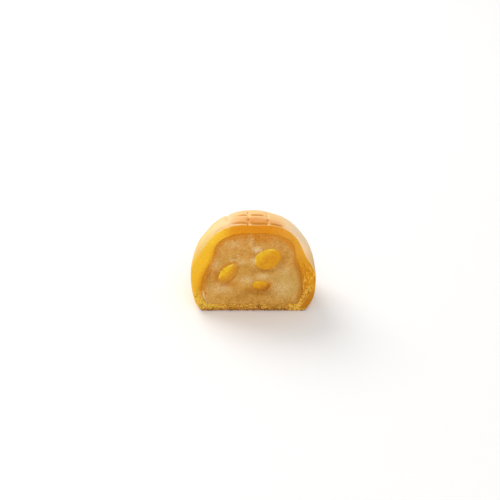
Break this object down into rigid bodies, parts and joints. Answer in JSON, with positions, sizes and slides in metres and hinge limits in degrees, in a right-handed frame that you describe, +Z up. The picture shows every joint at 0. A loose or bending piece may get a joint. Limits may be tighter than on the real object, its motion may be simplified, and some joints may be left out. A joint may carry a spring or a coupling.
{
  "type": "half manju",
  "caption": "Half of a baked bean-paste manju, cut across, with a thick yellow dough skin scored in a grid and chestnut pieces in the paste.",
  "frame": {"origin": "centre of the bounding box at the level of the flat base it rests on", "axes": "+Z up; -Y is the way the cut faces; +Y points at the rounded end; +X runs to the right of a viewer who faces the cut"},
  "size_m": [0.0454, 0.0298, 0.0359],
  "materials": {
    "dough": "baked yellow dough, pale and satin outside, deeper yellow and finely crumbly where cut",
    "bean_paste": "moist, slightly granular beige bean paste",
    "chestnut": "candied yellow chestnut, moist satin"
  },
  "bodies": {
    "root": {"dough": "dough", "bean_paste": "bean_paste", "chestnut_upper": "chestnut", "chestnut_left": "chestnut", "chestnut_lower": "chestnut"}
  },
  "joints": []
}
